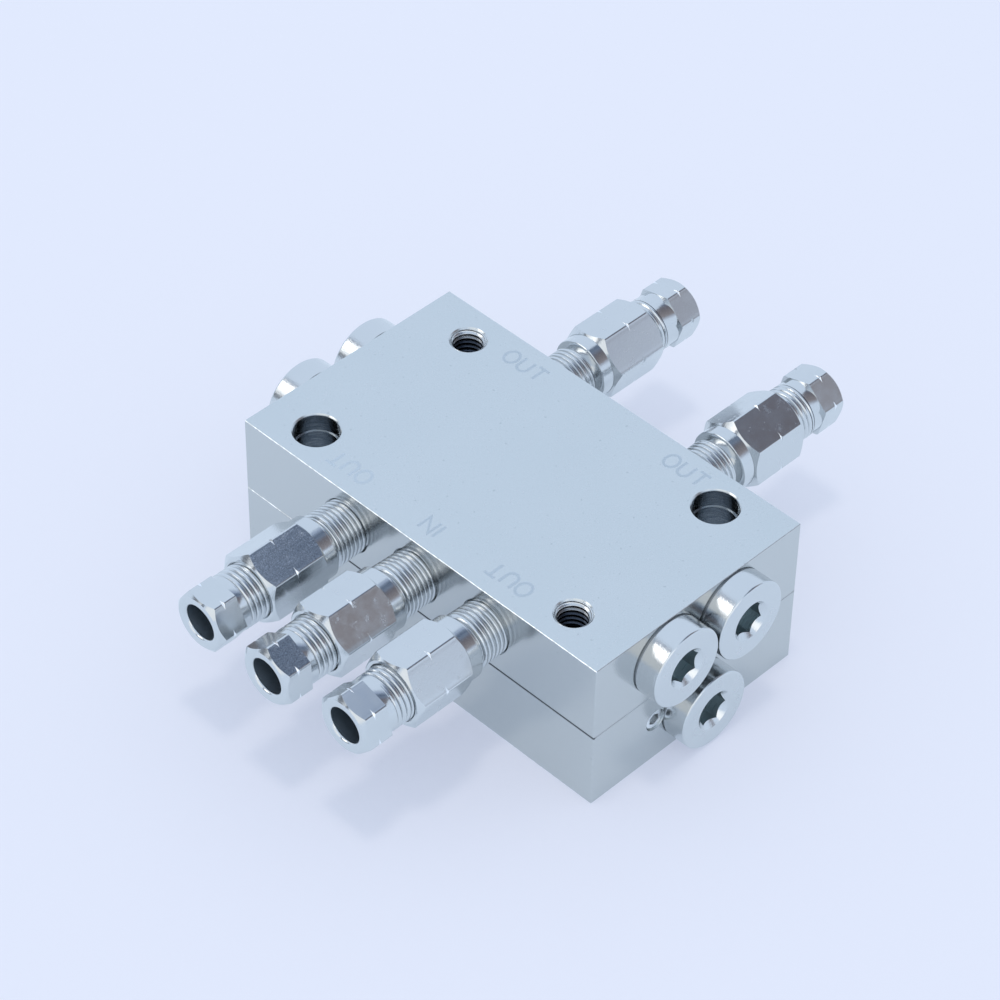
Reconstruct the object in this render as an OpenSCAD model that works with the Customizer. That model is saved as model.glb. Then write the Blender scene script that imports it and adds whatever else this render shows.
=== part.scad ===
// Lubricant divider block: two clamped steel plates with three metering pistons lying along X,
// a screwed plug at each end of every piston bore, one inlet fitting and four outlet fittings.
// Origin: middle of the block's underside. +X along the block, -Y towards the inlet, +Z up.

/* [Block] */
// Length of both plates, along X
block_l = 80; // [76:0.5:110]
// Width of both plates, along Y
block_w = 47; // [46:0.5:70]
// Thickness of each of the two plates
plate_t = 15; // [14.6:0.1:20]
// Chamfer on the outer edges of the plates
edge_chamfer = 0.08; // [0.05:0.01:0.6]

/* [Fastening holes] */
// Distance from the block's middle to each of the two through holes, along X
mount_x = 28.9; // [28.6:0.1:29.4]
// Distance from the block's middle to each of the two through holes, along Y
mount_y = 16.7; // [16.6:0.1:17.2]
// Shift of the pair of through holes along X
mount_shift = -1.1; // [-1.4:0.1:0]
// Diameter of the two through holes that mount the block
mount_hole_d = 7.4; // [6:0.1:7.4]
// Diameter of the wider mouth of a through hole
mount_mouth_d = 7.8; // [7.6:0.1:7.8]
// Depth of the wider mouth of a through hole
mount_mouth_depth = 3.6; // [2:0.1:5]
// Chamfer at the mouths of the through holes and the tapped holes
mouth_chamfer = 0.25; // [0.1:0.05:0.4]
// Distance from the block's middle to each of the two tapped holes, along X
tap_x = 28.7; // [28:0.1:30]
// Distance from the block's middle to each of the two tapped holes, along Y
tap_y = 16.9; // [16.6:0.1:17.4]
// Thread diameter of the clamp screws that hold the plates together
clamp_d = 6; // [5.6:0.1:6.4]
// Length of clamp screw that is screwed into the upper plate
clamp_engage = 9; // [6:0.5:10]
// Diameter of the clamp screw's head
clamp_head_d = 10; // [9:0.1:10.5]
// Height of the clamp screw's head
clamp_head_h = 6; // [5:0.1:6.5]
// Depth of the head below the underside of the block
clamp_recess = 0.4; // [0.2:0.1:1]
// Hexagon key size of the clamp screw
clamp_key = 5; // [4:0.5:5.5]
// Depth of the hexagon in the clamp screw's head
clamp_key_depth = 3; // [2:0.5:4]

/* [Pistons] */
// Distance between the two piston bores in the upper plate
bore_spacing = 14.8; // [14.6:0.1:15]
// Diameter of the pistons
piston_d = 7; // [6:0.1:7.4]
// Running clearance of a piston in its bore, on the radius
piston_clearance = 0.03; // [0.01:0.01:0.08]
// Full travel of a piston from plug to plug
piston_stroke = 6; // [3:0.5:8]
// Gap left between a piston and the plug that stops it
stop_gap = 0.05; // [0.02:0.01:0.2]
// Length of each of the two grooves round a piston
groove_l = 10; // [6:0.5:12]
// Distance from a piston's middle to the middle of each groove
groove_x = 11; // [9:0.5:14]
// Diameter at the bottom of a piston's grooves
groove_d = 4.4; // [3:0.1:5]
// Diameter of the stop pin on each end of a piston
stop_pin_d = 4; // [3:0.1:5]
// Length of the stop pin on each end of a piston
stop_pin_l = 3; // [1:0.5:5]

/* [End plugs] */
// Thread diameter of the end plugs
plug_thread_d = 9.7; // [9:0.1:10.4]
// Length of plug thread inside the block
plug_thread_l = 9; // [7:0.5:10]
// Diameter of a plug's collar
plug_collar_d = 14.5; // [13.5:0.1:14.5]
// Thickness of a plug's collar
plug_collar_t = 4.25; // [3:0.05:6]
// Bevel on the outer rim of a plug's collar
plug_bevel = 0.35; // [0.1:0.05:0.8]
// Hexagon key size of a plug
plug_key = 5.5; // [4:0.5:6]
// Depth of the hexagon in a plug
plug_key_depth = 4.4; // [3:0.1:6]
// Diameter of the countersink at the mouth of a plug's hexagon
plug_mouth_d = 7.4; // [7:0.1:8]
// Outer diameter of the sealing washer under a plug
washer_d = 14.1; // [12:0.1:14.3]
// Thickness of the sealing washer under a plug
washer_t = 0.25; // [0.2:0.05:1]
// Angle of the hexagon in the front, back and lower plug
plug_turns = [50, 9, 23]; // [0:1:60]

/* [Ports] */
// Distance between neighbouring fittings
port_pitch = 16; // [15:0.25:18]
// Gauge diameter of the fittings' taper pipe thread
pipe_thread_d = 9.73; // [9.4:0.01:10]
// Pitch of the taper pipe thread
pipe_pitch = 0.907; // [0.8:0.001:1.1]
// Depth of the pipe thread's ridges
pipe_ridge = 0.5; // [0.3:0.05:0.6]
// Depth of a tapped port from the side of the block
port_depth = 11; // [10.5:0.1:11.5]
// Diameter of the chamfer at the mouth of a port
port_mouth_d = 10.3; // [10.2:0.1:12]
// Diameter of the drilled oil passages
passage_d = 3.2; // [2:0.1:3.6]
// Clearance of every screwed thread in its hole, on the radius
thread_clearance = 0.06; // [0.05:0.01:0.1]

/* [Fitting bodies] */
// Length of pipe thread inside the block
body_insert = 9; // [7:0.1:9.4]
// Length of pipe thread left standing out of the block
thread_exposed = 6.1; // [4:0.1:8]
// Diameter of the relief neck behind the thread
neck_d = 9; // [7:0.1:9]
// Length of the relief neck behind the thread
neck_l = 0.9; // [0.4:0.1:2]
// Diameter of the round collar before the hexagon
collar_d = 11.4; // [10.5:0.1:11.6]
// Length of the round collar before the hexagon
collar_l = 2.4; // [1:0.1:4]
// Hexagon of a fitting body, across its flats
body_af = 12; // [12:0.1:13]
// Length of a fitting body's hexagon
body_hex_l = 12; // [11:0.1:14]
// Distance of the turned nick from the start of a body's hexagon
body_nick_s = 6.4; // [4:0.1:8]
// Depth of the turned nick in the corners of both hexagons
nick_depth = 0.6; // [0.2:0.05:0.6]
// Width of the turned nick in the corners of both hexagons
nick_w = 0.9; // [0.4:0.05:1.2]
// How far each front fitting stands off its nominal depth, left to right
front_standoffs = [-0.2, 0.1, -0.9]; // [-1.5:0.05:1]
// How far each back fitting stands off its nominal depth, left to right
back_standoffs = [0.45, 0.45]; // [-1.5:0.05:1]
// Angle of each front body's hexagon, left to right
front_body_turns = [35.7, 13.4, 8.8]; // [0:0.1:60]
// Angle of each back body's hexagon, left to right
back_body_turns = [50.1, 27.3]; // [0:0.1:60]

/* [Gland nuts] */
// Outside diameter of the tube that the fittings take
tube_d = 6; // [5.6:0.1:6.2]
// Clearance of the tube in a fitting, on the radius
tube_clearance = 0.2; // [0.1:0.05:0.3]
// Thread diameter of a gland nut
gland_d = 10; // [9.6:0.1:10.4]
// Pitch of the gland thread
gland_pitch = 1; // [0.8:0.05:1.25]
// Depth of the gland thread's ridges
gland_ridge = 0.5; // [0.3:0.05:0.6]
// Depth of the gland thread in a fitting body
gland_depth = 7.4; // [6.8:0.1:8.4]
// Hexagon of a gland nut, across its flats
nut_af = 10; // [10:0.1:11]
// Length of a gland nut's hexagon
nut_hex_l = 5.2; // [4:0.1:7]
// Length of a gland nut's shank
nut_shank_l = 11; // [10.6:0.1:11]
// Length of the plain stretch between each front nut's hexagon and its thread, left to right
front_nut_plains = [1.4, 1.3, 1.6]; // [1:0.1:4]
// Length of the plain stretch between each back nut's hexagon and its thread, left to right
back_nut_plains = [3.1, 2.2]; // [1:0.1:4]
// Chamfer at the mouth of a gland nut's bore
nut_bore_chamfer = 0.6; // [0.2:0.05:0.8]
// Gap between each front nut's hexagon and its fitting body, left to right
front_nut_gaps = [5.4, 5.5, 5]; // [5:0.05:5.9]
// Gap between each back nut's hexagon and its fitting body, left to right
back_nut_gaps = [5.15, 5.9]; // [5:0.05:5.9]
// Angle of each front nut's hexagon, left to right
front_nut_turns = [56.9, 32.7, 42.8]; // [0:0.1:60]
// Angle of each back nut's hexagon, left to right
back_nut_turns = [47.7, 43.8]; // [0:0.1:60]

/* [Tube seat] */
// Length of the taper that seats the ferrule
seat_l = 3; // [2:0.1:4]
// Half angle of the taper that seats the ferrule
seat_angle = 12; // [10:0.5:14]
// Depth of the plain tube socket below the taper
socket_l = 3; // [1:0.1:4]
// Clearance of a ferrule in its taper, on the radius
ferrule_clearance = 0.05; // [0.03:0.01:0.1]
// Clearance of the tube in a ferrule, on the radius
ferrule_grip = 0.03; // [0.02:0.01:0.04]
// Thickness of the flange of a ferrule
ferrule_flange_t = 1.3; // [1:0.1:1.3]
// Diameter of the flange of a ferrule
ferrule_flange_d = 8.8; // [8.2:0.1:9.4]

/* [Crossover and seals] */
// Place of the crossover drilling across the block, along Y
cross_y = -9.1; // [-9.4:0.1:-8.6]
// Height of the crossover drilling above the underside
cross_z = 8.6; // [7.6:0.1:9]
// Distance of the crossover's risers from the block's middle
cross_x = 8; // [7:0.1:9]
// Thread diameter of the grub screw that closes the crossover
grub_d = 4; // [3.6:0.1:4.2]
// Length of the grub screw
grub_l = 4.5; // [3.5:0.1:5]
// Depth of the grub screw below the end of the block
grub_recess = 0.3; // [0.2:0.1:1]
// Hexagon key size of the grub screw
grub_key = 2; // [1.5:0.1:2.2]
// Depth of the hexagon in the grub screw
grub_key_depth = 2; // [1:0.1:2.5]
// Diameter of the crossover drilling
cross_d = 2.5; // [1.5:0.1:2.8]
// Mean diameter of the seals between the plates
seal_d = 5.8; // [5.6:0.1:6.2]
// Section diameter of the seals between the plates
seal_section = 1.5; // [1.3:0.1:1.6]
// Depth of the seal grooves in the lower plate
seal_groove_depth = 1.2; // [0.9:0.1:1.3]
// Clearance of a seal in its groove
seal_clearance = 0.05; // [0.03:0.01:0.1]

/* [Hidden] */
$fn = 64;
// How far a cut runs past the face that it opens
over = 0.5;
// Clearance round the clamp screws' shanks and heads in the lower plate, on the radius
clamp_hole_clearance = 0.3;
head_clearance = 0.4;
// Angle of the turned chamfers on the hexagons, and a corner's relief inside that turning
hex_chamfer_angle = 40;
corner_relief = 0.06;
// Growth of the pipe thread's radius along its length
pipe_taper = 1 / 32;
// Bevel on the small turned edges, and at the tips of the plug threads
small_bevel = 0.25;
tip_bevel = 0.5;
// Shares of the pitch at which a thread's ridge starts to rise, is up, and starts to fall
ridge_foot = 0.14;
ridge_up = 0.46;
ridge_down = 0.68;
// How far a nut's plain shank lies below its thread and flats, on the radius
shank_relief = 0.05;
// Share of the seat's taper that a ferrule fills
ferrule_share = 0.6;

// Heights and half sizes of the block
block_h = 2 * plate_t;
upper_z = 1.5 * plate_t;
lower_z = 0.5 * plate_t;
end_x = block_l / 2;
side_y = block_w / 2;

// Pistons, plugs and ports
bore_y = bore_spacing / 2;
bore_d = piston_d + 2 * piston_clearance;
piston_l = block_l - 2 * plug_thread_l - piston_stroke - 2 * stop_gap;
plug_tap_d = plug_thread_d + 2 * thread_clearance;
washer_bore_d = plug_tap_d;
port_d = pipe_thread_d + 2 * thread_clearance;
port_floor_y = side_y - port_depth;

// Stations along a fitting, measured out from the side of the block
tube_bore_d = tube_d + 2 * tube_clearance;
collar_s = thread_exposed + neck_l;
hex_s = collar_s + collar_l;
face_s = hex_s + body_hex_l;
gland_floor_s = face_s - gland_depth;
gland_hole_d = gland_d + 2 * thread_clearance;
seat_d = tube_bore_d + 2 * seat_l * tan(seat_angle);
ferrule_tip_s = gland_floor_s - ferrule_share * seat_l;
ferrule_flange_s = gland_floor_s + 2 * ferrule_clearance;

// Risers through the joint between the plates
seal_places = [
    [0, 0], [-port_pitch, 0], [port_pitch, 0], [-cross_x, cross_y], [cross_x, cross_y]];

ZINC = [0.74, 0.79, 0.86];
BRIGHT = [0.83, 0.86, 0.90];
STEEL = [0.55, 0.57, 0.60];
DARK = [0.22, 0.23, 0.25];
BRASS = [0.78, 0.66, 0.36];
RUBBER = [0.10, 0.10, 0.11];

// Rectangle a by b about the origin with its corners cut off
function cut_rectangle(a, b, c) = [
    for (corner = [[1, -1], [1, 1], [-1, 1], [-1, -1]])
        let (px = corner[0] * a / 2, py = corner[1] * b / 2)
            each corner[0] * corner[1] < 0
                ? [[px - corner[0] * c, py], [px, py - corner[1] * c]]
                : [[px, py - corner[1] * c], [px - corner[0] * c, py]]];

// Box about the origin with all its edges chamfered
module chamfer_box(l, w, h, c) {
    intersection() {
        linear_extrude(h, center = true)
            polygon(cut_rectangle(l, w, c));
        rotate([90, 0, 0])
            linear_extrude(w, center = true)
                polygon(cut_rectangle(l, h, c));
        rotate([90, 0, 90])
            linear_extrude(l, center = true)
                polygon(cut_rectangle(w, h, c));
    }
}

// Drilling along X from x0 to x1
module drill_x(x0, x1, y, z, d) {
    translate([x0, y, z])
        rotate([0, 90, 0])
            cylinder(h = x1 - x0, d = d);
}

// Drilling along Y from y0 to y1
module drill_y(y0, y1, x, z, d) {
    translate([x, y0, z])
        rotate([-90, 0, 0])
            cylinder(h = y1 - y0, d = d);
}

// Drilling along Z from z0 to z1
module drill_z(z0, z1, place, d) {
    translate([place[0], place[1], z0])
        cylinder(h = z1 - z0, d = d);
}

// Chamfer cone at the mouth of a hole of diameter d, opening along +Z at the origin
module mouth_cone(d, c) {
    translate([0, 0, -c])
        cylinder(h = c + over, d1 = d, d2 = d + 2 * (c + over));
}

// Hexagon prism along Z by its size across flats
module hexagon(af, h) {
    cylinder(h = h, d = af / cos(30), $fn = 6);
}

// Frame of an end plug: +Z out of the block's end
module at_end(side, y, z) {
    translate([side * end_x, y, z])
        rotate([0, side * 90, 0])
            children();
}

// Frame of a fitting: +Z out of the block's side
module at_port(side, x) {
    translate([x, side * side_y, upper_z])
        rotate([-side * 90, 0, 0])
            children();
}

// Bore for one piston with a plug thread at each end
module piston_bore(y, z) {
    drill_x(-end_x - over, end_x + over, y, z, bore_d);
    for (side = [-1, 1])
        at_end(side, y, z)
            translate([0, 0, -plug_thread_l - over])
                cylinder(h = plug_thread_l + 2 * over, d = plug_tap_d);
}

// Tapped port with its chamfered mouth
module port(side, x) {
    at_port(side, x) {
        translate([0, 0, -port_depth])
            cylinder(h = port_depth + over, d = port_d);
        mouth_cone(port_d, (port_mouth_d - port_d) / 2);
    }
}

// Oil passages that run through both plates
module passages() {
    drill_y(-port_floor_y - over, bore_y, 0, upper_z, passage_d);
    for (side = [-1, 1]) {
        drill_y(-port_floor_y - over, passage_d / 2, side * port_pitch, upper_z, passage_d);
        drill_y(bore_y, port_floor_y + over, side * port_pitch, upper_z, passage_d);
        drill_z(cross_z, upper_z, [side * cross_x, cross_y], cross_d);
    }
    for (x = [-port_pitch, 0, port_pitch])
        drill_z(lower_z, upper_z, [x, 0], passage_d);
    drill_x(-cross_x, end_x, cross_y, cross_z, cross_d);
}

// Through holes that mount the block, at the front left and back right corners
module mounting_holes() {
    for (side = [-1, 1])
        translate([mount_shift + side * mount_x, side * mount_y, 0]) {
            translate([0, 0, -over])
                cylinder(h = block_h + 2 * over, d = mount_hole_d);
            translate([0, 0, block_h - mount_mouth_depth])
                cylinder(h = mount_mouth_depth + over, d = mount_mouth_d);
            translate([0, 0, block_h])
                mouth_cone(mount_mouth_d, mouth_chamfer);
            rotate([180, 0, 0])
                mouth_cone(mount_hole_d, mouth_chamfer);
        }
}

// Tapped hole over a clamp screw, open at the top of the block
module clamp_tap(side) {
    tap_d = clamp_d + 2 * thread_clearance;
    translate([side * tap_x, -side * tap_y, plate_t]) {
        translate([0, 0, -over])
            cylinder(h = plate_t + 2 * over, d = tap_d);
        translate([0, 0, plate_t])
            mouth_cone(tap_d, mouth_chamfer);
    }
}

// Stepped hole for a clamp screw and its sunk head
module clamp_hole(side) {
    translate([side * tap_x, -side * tap_y, 0]) {
        translate([0, 0, -over])
            cylinder(h = plate_t + 2 * over, d = clamp_d + 2 * clamp_hole_clearance);
        translate([0, 0, -over])
            cylinder(h = clamp_recess + clamp_head_h + over, d = clamp_head_d + 2 * head_clearance);
    }
}

// Ring groove for a seal round one riser
module seal_groove(place) {
    groove_w = seal_section + 2 * seal_clearance;
    translate([place[0], place[1], plate_t - seal_groove_depth])
        difference() {
            cylinder(h = seal_groove_depth + over, d = seal_d + groove_w);
            translate([0, 0, -over])
                cylinder(h = seal_groove_depth + 3 * over, d = seal_d - groove_w);
        }
}

module upper_plate() {
    color(ZINC)
        difference() {
            translate([0, 0, upper_z])
                chamfer_box(block_l, block_w, plate_t, edge_chamfer);
            for (side = [-1, 1]) {
                piston_bore(side * bore_y, upper_z);
                clamp_tap(side);
                port(1, side * port_pitch);
            }
            for (i = [-1:1])
                port(-1, i * port_pitch);
            passages();
            mounting_holes();
        }
}

module lower_plate() {
    color(ZINC)
        difference() {
            translate([0, 0, lower_z])
                chamfer_box(block_l, block_w, plate_t, edge_chamfer);
            piston_bore(0, lower_z);
            for (side = [-1, 1])
                clamp_hole(side);
            for (place = seal_places)
                seal_groove(place);
            passages();
            mounting_holes();
            drill_x(end_x - grub_recess - grub_l, end_x + over, cross_y, cross_z,
                grub_d + 2 * thread_clearance);
        }
}

// Socket head screw that pulls the upper plate down from below
module clamp_screw(side) {
    shank_h = plate_t + clamp_engage - clamp_recess;
    color(DARK)
        translate([side * tap_x, -side * tap_y, clamp_recess])
            difference() {
                union() {
                    translate([0, 0, small_bevel])
                        cylinder(h = clamp_head_h - small_bevel, d = clamp_head_d);
                    cylinder(h = small_bevel, d1 = clamp_head_d - 2 * small_bevel, d2 = clamp_head_d);
                    cylinder(h = shank_h, d = clamp_d);
                }
                translate([0, 0, -over])
                    hexagon(clamp_key, clamp_key_depth + over);
            }
}

// Spool with three lands, two grooves and a stop pin on each end
module piston(y, z) {
    land_end = piston_l / 2 - stop_pin_l;
    outline = [
        [0, -piston_l / 2],
        [stop_pin_d / 2, -piston_l / 2],
        [stop_pin_d / 2, -land_end],
        [piston_d / 2, -land_end],
        for (groove = [-groove_x, groove_x])
            each [
                [piston_d / 2, groove - groove_l / 2],
                [groove_d / 2, groove - groove_l / 2],
                [groove_d / 2, groove + groove_l / 2],
                [piston_d / 2, groove + groove_l / 2]],
        [piston_d / 2, land_end],
        [stop_pin_d / 2, land_end],
        [stop_pin_d / 2, piston_l / 2],
        [0, piston_l / 2]];
    color(STEEL)
        translate([0, y, z])
            rotate([0, 90, 0])
                rotate_extrude()
                    polygon(outline);
}

// Collared plug with a countersunk hexagon
module plug(side, y, z, turn) {
    face = washer_t + plug_collar_t;
    mouth_low_d = plug_key - tip_bevel;
    mouth_h = (plug_mouth_d - mouth_low_d) / 2;
    color(BRIGHT)
        at_end(side, y, z)
            difference() {
                rotate_extrude()
                    polygon([
                        [0, -plug_thread_l],
                        [plug_thread_d / 2 - tip_bevel, -plug_thread_l],
                        [plug_thread_d / 2, -plug_thread_l + tip_bevel],
                        [plug_thread_d / 2, washer_t],
                        [plug_collar_d / 2 - small_bevel, washer_t],
                        [plug_collar_d / 2, washer_t + small_bevel],
                        [plug_collar_d / 2, face - plug_bevel],
                        [plug_collar_d / 2 - plug_bevel, face],
                        [0, face]]);
                translate([0, 0, face - plug_key_depth])
                    rotate([0, 0, turn])
                        hexagon(plug_key, plug_key_depth + over);
                translate([0, 0, face - mouth_h])
                    cylinder(h = mouth_h + over, d1 = mouth_low_d, d2 = plug_mouth_d + 2 * over);
            }
}

// Flat sealing ring under a plug's collar
module washer(side, y, z) {
    color(STEEL)
        at_end(side, y, z)
            difference() {
                cylinder(h = washer_t, d = washer_d);
                translate([0, 0, -over])
                    cylinder(h = washer_t + 2 * over, d = washer_bore_d);
            }
}

// Outline of a ridged thread from s0 upwards, one trapezium a turn, on a radius that grows by taper
function ridges(s0, turns, pitch, r, depth, taper) = [
    for (k = [0:turns - 1])
        let (s = s0 + k * pitch, crest = r + s * taper)
            each [
                [crest - depth, s],
                [crest - depth, s + ridge_foot * pitch],
                [crest, s + ridge_up * pitch],
                [crest, s + ridge_down * pitch]],
    [r + (s0 + turns * pitch) * taper - depth, s0 + turns * pitch]];

// Hexagon with turned chamfers at its ends and a nick that only cuts its corners
module turned_hexagon(af, h, nick_s, low_face_d, high_face_d) {
    corner_r = af / 2 / cos(30) + corner_relief;
    low_h = (corner_r - low_face_d / 2) * tan(hex_chamfer_angle);
    high_h = (corner_r - high_face_d / 2) * tan(hex_chamfer_angle);
    intersection() {
        hexagon(af, h);
        rotate_extrude()
            polygon([
                [0, 0],
                [low_face_d / 2, 0],
                [corner_r, low_h],
                [corner_r, nick_s - nick_w / 2],
                [corner_r - nick_depth, nick_s],
                [corner_r, nick_s + nick_w / 2],
                [corner_r, h - high_h],
                [high_face_d / 2, h],
                [0, h]]);
    }
}

// Straight fitting: taper pipe thread, neck, collar, hexagon, gland thread and tube seat
module fitting_body(side, x, standoff, turn) {
    turns = floor((body_insert + thread_exposed) / pipe_pitch);
    thread_s = thread_exposed - turns * pipe_pitch;
    tip_r = pipe_thread_d / 2 + thread_s * pipe_taper - pipe_ridge;
    face_ring_d = body_af - 2 * small_bevel;
    gland_mouth = thread_clearance + small_bevel;
    color(BRIGHT)
        at_port(side, x)
            translate([0, 0, standoff])
                difference() {
                    union() {
                        rotate_extrude()
                            polygon([
                                [0, -body_insert],
                                [tip_r, -body_insert],
                                each ridges(thread_s, turns, pipe_pitch, pipe_thread_d / 2,
                                    pipe_ridge, pipe_taper),
                                [neck_d / 2, thread_exposed],
                                [neck_d / 2, collar_s],
                                [collar_d / 2 - small_bevel, collar_s],
                                [collar_d / 2, collar_s + small_bevel],
                                [collar_d / 2, hex_s + over],
                                [0, hex_s + over]]);
                        translate([0, 0, hex_s])
                            rotate([0, 0, turn])
                                turned_hexagon(body_af, body_hex_l, body_nick_s, face_ring_d, face_ring_d);
                    }
                    rotate_extrude()
                        polygon([
                            [0, -body_insert - over],
                            [passage_d / 2, -body_insert - over],
                            [passage_d / 2, gland_floor_s - seat_l - socket_l],
                            [tube_bore_d / 2, gland_floor_s - seat_l - socket_l],
                            [tube_bore_d / 2, gland_floor_s - seat_l],
                            [seat_d / 2, gland_floor_s],
                            [gland_hole_d / 2, gland_floor_s],
                            [gland_hole_d / 2, face_s - gland_mouth],
                            [gland_hole_d / 2 + gland_mouth + over, face_s + over],
                            [0, face_s + over]]);
                }
}

// Gland nut: hexagon, plain shank, thread and tube bore
module gland_nut(side, x, standoff, gap, plain, turn) {
    turns = floor((nut_shank_l - plain) / gland_pitch);
    thread_s = nut_shank_l - plain - turns * gland_pitch;
    root_r = gland_d / 2 - gland_ridge;
    shank_r = min(gland_d, nut_af) / 2 - shank_relief;
    face_d = nut_af - 2 * small_bevel;
    length = nut_shank_l + nut_hex_l;
    color(BRIGHT)
        at_port(side, x)
            translate([0, 0, standoff + face_s + gap - nut_shank_l])
                difference() {
                    union() {
                        rotate_extrude()
                            polygon([
                                [0, 0],
                                [root_r, 0],
                                each ridges(thread_s, turns, gland_pitch, gland_d / 2, gland_ridge, 0),
                                [shank_r, nut_shank_l - plain],
                                [shank_r, nut_shank_l + over],
                                [0, nut_shank_l + over]]);
                        translate([0, 0, nut_shank_l])
                            rotate([0, 0, turn])
                                turned_hexagon(nut_af, nut_hex_l, nut_hex_l / 2,
                                    nut_af / cos(30) + 2 * corner_relief, face_d);
                    }
                    translate([0, 0, -over])
                        cylinder(h = length + 2 * over, d = tube_bore_d);
                    translate([0, 0, length])
                        mouth_cone(tube_bore_d, nut_bore_chamfer);
                }
}

// Cutting ring that grips the tube, tapered to its seat and flanged under the nut
module ferrule(side, x, standoff) {
    taper_r = function(s) seat_d / 2 - (gland_floor_s - s) * tan(seat_angle) - ferrule_clearance;
    back_s = ferrule_flange_s + ferrule_flange_t;
    grip_r = tube_d / 2 + ferrule_grip;
    color(BRASS)
        at_port(side, x)
            translate([0, 0, standoff])
                rotate_extrude()
                    polygon([
                        [grip_r, ferrule_tip_s],
                        [taper_r(ferrule_tip_s), ferrule_tip_s],
                        [taper_r(gland_floor_s), gland_floor_s],
                        [taper_r(gland_floor_s), ferrule_flange_s],
                        [ferrule_flange_d / 2, ferrule_flange_s],
                        [ferrule_flange_d / 2, back_s],
                        [grip_r, back_s]]);
}

// Round seal flattened between its groove and the upper plate
module seal(place) {
    color(RUBBER)
        translate([place[0], place[1], plate_t - seal_groove_depth / 2])
            rotate_extrude()
                translate([seal_d / 2, 0])
                    intersection() {
                        circle(d = seal_section);
                        square([2 * seal_section, seal_groove_depth], center = true);
                    }
}

module crossover_screw() {
    color(STEEL)
        at_end(1, cross_y, cross_z)
            translate([0, 0, -grub_recess - grub_l])
                difference() {
                    rotate_extrude()
                        polygon([
                            [0, 0],
                            [grub_d / 2 - small_bevel, 0],
                            [grub_d / 2, small_bevel],
                            [grub_d / 2, grub_l - small_bevel],
                            [grub_d / 2 - small_bevel, grub_l],
                            [0, grub_l]]);
                    translate([0, 0, grub_l - grub_key_depth])
                        hexagon(grub_key, grub_key_depth + over);
                }
}

module clamp_screw_front() { clamp_screw(1); }
module clamp_screw_back() { clamp_screw(-1); }

module piston_front() { piston(-bore_y, upper_z); }
module piston_back() { piston(bore_y, upper_z); }
module piston_lower() { piston(0, lower_z); }

module plug_right_front() { plug(1, -bore_y, upper_z, plug_turns[0]); }
module plug_right_back() { plug(1, bore_y, upper_z, plug_turns[1]); }
module plug_right_lower() { plug(1, 0, lower_z, plug_turns[2]); }
module plug_left_front() { plug(-1, -bore_y, upper_z, plug_turns[0]); }
module plug_left_back() { plug(-1, bore_y, upper_z, plug_turns[1]); }
module plug_left_lower() { plug(-1, 0, lower_z, plug_turns[2]); }

module washer_right_front() { washer(1, -bore_y, upper_z); }
module washer_right_back() { washer(1, bore_y, upper_z); }
module washer_right_lower() { washer(1, 0, lower_z); }
module washer_left_front() { washer(-1, -bore_y, upper_z); }
module washer_left_back() { washer(-1, bore_y, upper_z); }
module washer_left_lower() { washer(-1, 0, lower_z); }

// Fittings on the front side by their place from left to right
module front_body(i) { fitting_body(-1, (i - 1) * port_pitch, front_standoffs[i], front_body_turns[i]); }
module front_nut(i) {
    gland_nut(-1, (i - 1) * port_pitch, front_standoffs[i], front_nut_gaps[i], front_nut_plains[i],
        front_nut_turns[i]);
}
module front_ferrule(i) { ferrule(-1, (i - 1) * port_pitch, front_standoffs[i]); }

// Fittings on the back side by their place from left to right
module back_body(i) { fitting_body(1, (2 * i - 1) * port_pitch, back_standoffs[i], back_body_turns[i]); }
module back_nut(i) {
    gland_nut(1, (2 * i - 1) * port_pitch, back_standoffs[i], back_nut_gaps[i], back_nut_plains[i],
        back_nut_turns[i]);
}
module back_ferrule(i) { ferrule(1, (2 * i - 1) * port_pitch, back_standoffs[i]); }

module outlet_front_left_body() { front_body(0); }
module inlet_body() { front_body(1); }
module outlet_front_right_body() { front_body(2); }
module outlet_back_left_body() { back_body(0); }
module outlet_back_right_body() { back_body(1); }

module outlet_front_left_nut() { front_nut(0); }
module inlet_nut() { front_nut(1); }
module outlet_front_right_nut() { front_nut(2); }
module outlet_back_left_nut() { back_nut(0); }
module outlet_back_right_nut() { back_nut(1); }

module outlet_front_left_ferrule() { front_ferrule(0); }
module inlet_ferrule() { front_ferrule(1); }
module outlet_front_right_ferrule() { front_ferrule(2); }
module outlet_back_left_ferrule() { back_ferrule(0); }
module outlet_back_right_ferrule() { back_ferrule(1); }

module seal_feed() { seal(seal_places[0]); }
module seal_left() { seal(seal_places[1]); }
module seal_right() { seal(seal_places[2]); }
module seal_cross_left() { seal(seal_places[3]); }
module seal_cross_right() { seal(seal_places[4]); }

upper_plate();
lower_plate();
clamp_screw_front();
clamp_screw_back();
piston_front();
piston_back();
piston_lower();
plug_right_front();
plug_right_back();
plug_right_lower();
plug_left_front();
plug_left_back();
plug_left_lower();
washer_right_front();
washer_right_back();
washer_right_lower();
washer_left_front();
washer_left_back();
washer_left_lower();
inlet_body();
outlet_front_left_body();
outlet_front_right_body();
outlet_back_left_body();
outlet_back_right_body();
inlet_nut();
outlet_front_left_nut();
outlet_front_right_nut();
outlet_back_left_nut();
outlet_back_right_nut();
inlet_ferrule();
outlet_front_left_ferrule();
outlet_front_right_ferrule();
outlet_back_left_ferrule();
outlet_back_right_ferrule();
seal_feed();
seal_left();
seal_right();
seal_cross_left();
seal_cross_right();
crossover_screw();
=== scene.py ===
"""Studio scene of the lubricant divider block.

Zinc finishes, true screw threads, rounded plugs and port marks are added to its solids.
"""
import math

import bmesh
import bpy
from mathutils import Matrix, Vector


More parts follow.
